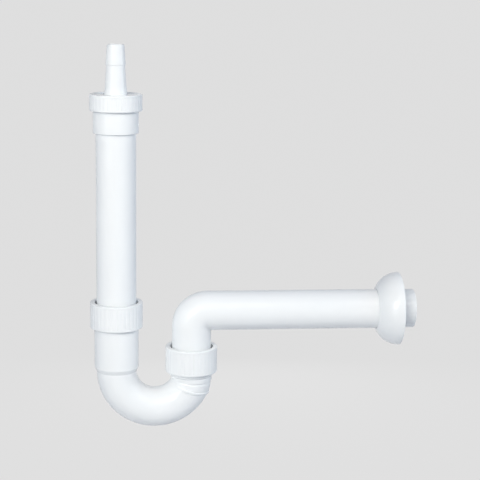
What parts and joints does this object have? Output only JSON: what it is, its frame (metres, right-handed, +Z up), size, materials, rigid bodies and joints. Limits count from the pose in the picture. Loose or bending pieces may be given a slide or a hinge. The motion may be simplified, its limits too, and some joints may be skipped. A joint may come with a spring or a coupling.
{
  "type": "tubular trap",
  "caption": "White plastic P-trap for an appliance drain: barbed hose nozzle, straight inlet pipe, U-bend with compression nuts, and an elbowed outlet pipe with a domed wall rosette.",
  "frame": {"origin": "centre of the outlet pipe's open end, where it goes into the wall", "axes": "+X along the outlet run towards the wall, +Z up along the inlet pipe, pipe axes in the XZ plane"},
  "size_m": [0.331, 0.075, 0.3882],
  "materials": {
    "white_plastic": "smooth moulded, glossy",
    "ring_plastic": "smooth, slightly waxy",
    "seal_rubber": "matt"
  },
  "bodies": {
    "outlet_pipe": {"outlet_pipe": "white_plastic"},
    "wall_rosette": {"wall_rosette": "white_plastic"},
    "outlet_seal": {"outlet_seal": "seal_rubber"},
    "trap_bend": {"trap_bend": "white_plastic"},
    "outlet_slip_ring": {"outlet_slip_ring": "ring_plastic"},
    "outlet_nut": {"outlet_nut": "white_plastic"},
    "inlet_slip_ring": {"inlet_slip_ring": "ring_plastic"},
    "inlet_nut": {"inlet_nut": "white_plastic"},
    "inlet_seal": {"inlet_seal": "seal_rubber"},
    "inlet_pipe": {"inlet_pipe": "white_plastic", "nozzle_gasket": "seal_rubber"},
    "hose_nozzle": {"hose_nozzle": "white_plastic"},
    "nozzle_nut": {"nozzle_nut": "white_plastic"}
  },
  "joints": [
    {"name": "rosette_slide", "type": "slide", "parent": "outlet_pipe", "child": "wall_rosette", "axis": [1, 0, 0], "range_m": [-0.1, 0.014]},
    {"name": "trap_drop", "type": "slide", "parent": "outlet_pipe", "child": "outlet_seal", "axis": [0, 0, -1], "range_m": [0, 0.012]},
    {"name": "trap_swivel", "type": "hinge", "parent": "outlet_seal", "child": "trap_bend", "pos_m": [-0.2285, 0, -0.045], "axis": [0, 0, 1], "range_deg": [-140, 140]},
    {"name": "outlet_nut_rise", "type": "slide", "parent": "trap_bend", "child": "outlet_slip_ring", "axis": [0, 0, 1], "range_m": [0, 0.0139]},
    {"name": "outlet_nut_turn", "type": "hinge", "parent": "outlet_slip_ring", "child": "outlet_nut", "pos_m": [-0.2285, 0, -0.05], "axis": [0, 0, 1], "range_deg": [0, 2160]},
    {"name": "inlet_nut_rise", "type": "slide", "parent": "trap_bend", "child": "inlet_slip_ring", "axis": [0, 0, 1], "range_m": [0, 0.0139]},
    {"name": "inlet_nut_turn", "type": "hinge", "parent": "inlet_slip_ring", "child": "inlet_nut", "pos_m": [-0.3045, 0, 0], "axis": [0, 0, 1], "range_deg": [0, 2160]},
    {"name": "inlet_pipe_turn", "type": "hinge", "parent": "trap_bend", "child": "inlet_seal", "pos_m": [-0.3045, 0, 0], "axis": [0, 0, 1], "continuous": true},
    {"name": "inlet_pipe_slide", "type": "slide", "parent": "inlet_seal", "child": "inlet_pipe", "axis": [0, 0, 1], "range_m": [-0.02, 0.02]},
    {"name": "nozzle_nut_rise", "type": "slide", "parent": "inlet_pipe", "child": "hose_nozzle", "axis": [0, 0, 1], "range_m": [0, 0.007]},
    {"name": "nozzle_nut_turn", "type": "hinge", "parent": "hose_nozzle", "child": "nozzle_nut", "pos_m": [-0.3045, 0, 0.21], "axis": [0, 0, 1], "range_deg": [0, 1080]}
  ],
  "couplings": [
    {"joint": "outlet_nut_rise", "follows": "outlet_nut_turn", "m_per_rad": 0.00036749},
    {"joint": "inlet_nut_rise", "follows": "inlet_nut_turn", "m_per_rad": 0.00036749},
    {"joint": "nozzle_nut_rise", "follows": "nozzle_nut_turn", "m_per_rad": 0.00036749}
  ]
}
